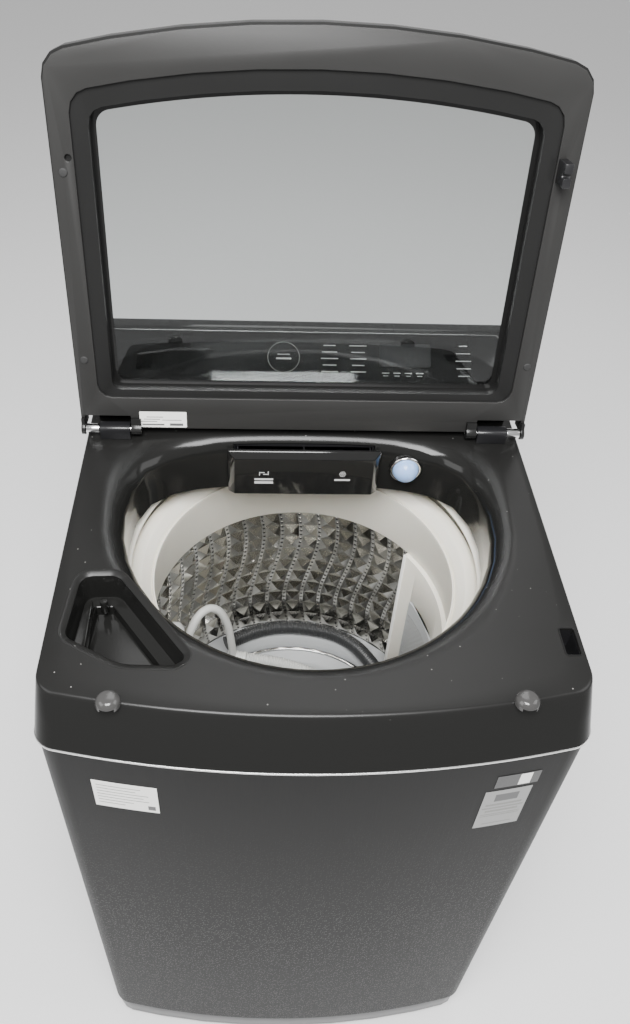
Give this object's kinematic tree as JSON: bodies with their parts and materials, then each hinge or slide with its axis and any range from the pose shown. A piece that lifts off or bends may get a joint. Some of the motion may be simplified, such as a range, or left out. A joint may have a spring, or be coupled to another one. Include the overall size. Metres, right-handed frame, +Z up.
{
  "type": "top load washing machine",
  "caption": "Upright top load washing machine: glazed lid standing open over a round mouth and steel drum, rear console, detergent drawer, pour cup, hoses stowed in the drum.",
  "frame": {"origin": "middle of the footprint, at floor level under the feet", "axes": "+Z up, the bowed front faces -Y, +X to the right seen from the front"},
  "size_m": [0.61, 0.675, 1.4542],
  "materials": {
    "cabinet_sheet": "dark charcoal with a fine vertical hairline",
    "rear_sheet": "galvanised sheet",
    "base_plastic": "black moulded",
    "silver_trim": "bright satin",
    "cover_plastic": "semi-gloss charcoal grey",
    "gloss_black": "piano black",
    "inner_frame": "satin charcoal",
    "black_plastic": "satin black",
    "tinted_glass": "clear with a black printed border",
    "hinge_chrome": "polished",
    "drum_steel": "embossed and perforated",
    "galvanised_steel": "zinc plated",
    "cream_plastic": "off-white satin",
    "grey_plastic": "grey satin",
    "pale_plastic": "pale grey",
    "blue_plastic": "pale blue translucent",
    "rubber": "black matt",
    "dark_hose": "dark grey corrugated",
    "copper_winding": "enamelled wire",
    "circuit_board": "green board"
  },
  "bodies": {
    "cabinet": {"cabinet_wrap": "cabinet_sheet", "rear_panel": "rear_sheet", "base_frame": "base_plastic", "trim_strip": "silver_trim", "top_cover": "cover_plastic", "bleach_cup": "cover_plastic", "dispenser_housing": "black_plastic", "console_housing": "gloss_black", "console_panel": "gloss_black", "control_board": "circuit_board", "nozzle_socket": "hinge_chrome", "nozzle_cap": "blue_plastic", "inlet_valve": "pale_plastic", "drain_outlet": "black_plastic", "cord_gland": "rubber", "lid_lock_housing": "black_plastic", "bumper_left": "rubber", "bumper_right": "rubber", "hinge_bracket_left": "black_plastic", "hinge_bracket_right": "black_plastic", "drain_pump": "grey_plastic", "suspension_rod_front_left": "galvanised_steel", "suspension_rod_front_right": "galvanised_steel", "suspension_rod_rear_left": "galvanised_steel", "suspension_rod_rear_right": "galvanised_steel"},
    "foot_front_left": {"foot_front_left": "rubber"},
    "foot_front_right": {"foot_front_right": "rubber"},
    "foot_rear_left": {"foot_rear_left": "rubber"},
    "foot_rear_right": {"foot_rear_right": "rubber"},
    "lid": {"lid_frame": "cover_plastic", "lid_inner_frame": "inner_frame", "lid_glass": "tinted_glass", "latch_hook": "black_plastic", "hinge_pin_left": "hinge_chrome", "hinge_pin_right": "hinge_chrome"},
    "lock_bolt": {"lock_bolt": "galvanised_steel"},
    "drawer": {"drawer_tray": "black_plastic", "drawer_front": "gloss_black"},
    "tub": {"outer_tub": "cream_plastic", "tub_cover": "cream_plastic", "gearcase": "grey_plastic", "stator": "copper_winding", "sump_bellows": "rubber", "suspension_spring_front_left": "galvanised_steel", "suspension_spring_front_right": "galvanised_steel", "suspension_spring_rear_left": "galvanised_steel", "suspension_spring_rear_right": "galvanised_steel"},
    "clutch_coupler": {"clutch_coupler": "black_plastic"},
    "basket": {"wash_basket": "drum_steel", "basket_base": "grey_plastic", "balance_ring": "cream_plastic", "filter_column": "cream_plastic", "lint_filter": "grey_plastic", "hose_hook": "pale_plastic", "drain_hose": "pale_plastic", "inlet_hose": "dark_hose", "inlet_hose_nut": "pale_plastic"},
    "pulsator": {"pulsator": "grey_plastic", "rotor": "galvanised_steel"},
    "pump_impeller": {"pump_impeller": "black_plastic"}
  },
  "joints": [
    {"name": "lid_hinge", "type": "hinge", "parent": "cabinet", "child": "lid", "pos_m": [0, 0.1417, 0.9673], "axis": [1, 0, 0], "range_deg": [0, 99.4]},
    {"name": "drawer_slide", "type": "slide", "parent": "cabinet", "child": "drawer", "axis": [0, -1, 0], "range_m": [0, 0.1]},
    {"name": "lock_bolt_slide", "type": "slide", "parent": "cabinet", "child": "lock_bolt", "axis": [1, 0, 0], "range_m": [0, 0.0095], "stiffness_N_per_m": 150},
    {"name": "tub_bounce", "type": "slide", "parent": "cabinet", "child": "tub", "axis": [0, 0, 1], "range_m": [-0.03, 0.012], "stiffness_N_per_m": 22000, "springref_m": 0.02007, "deforming": ["suspension_spring_front_left", "suspension_spring_front_right", "suspension_spring_rear_left", "suspension_spring_rear_right", "sump_bellows"]},
    {"name": "clutch_shift", "type": "slide", "parent": "tub", "child": "clutch_coupler", "axis": [0, 0, -1], "range_m": [0, 0.005]},
    {"name": "basket_spin", "type": "hinge", "parent": "tub", "child": "basket", "pos_m": [0, 0.006, 0.5], "axis": [0, 0, 1], "continuous": true},
    {"name": "pulsator_spin", "type": "hinge", "parent": "basket", "child": "pulsator", "pos_m": [0, 0.006, 0.4], "axis": [0, 0, 1], "continuous": true},
    {"name": "impeller_spin", "type": "hinge", "parent": "cabinet", "child": "pump_impeller", "pos_m": [0.135, -0.099, 0.1], "axis": [0, 0, 1], "continuous": true},
    {"name": "foot_front_left_level", "type": "slide", "parent": "cabinet", "child": "foot_front_left", "axis": [0, 0, -1], "range_m": [0, 0.015]},
    {"name": "foot_front_right_level", "type": "slide", "parent": "cabinet", "child": "foot_front_right", "axis": [0, 0, -1], "range_m": [0, 0.015]},
    {"name": "foot_rear_left_level", "type": "slide", "parent": "cabinet", "child": "foot_rear_left", "axis": [0, 0, -1], "range_m": [0, 0.015]},
    {"name": "foot_rear_right_level", "type": "slide", "parent": "cabinet", "child": "foot_rear_right", "axis": [0, 0, -1], "range_m": [0, 0.015]}
  ]
}
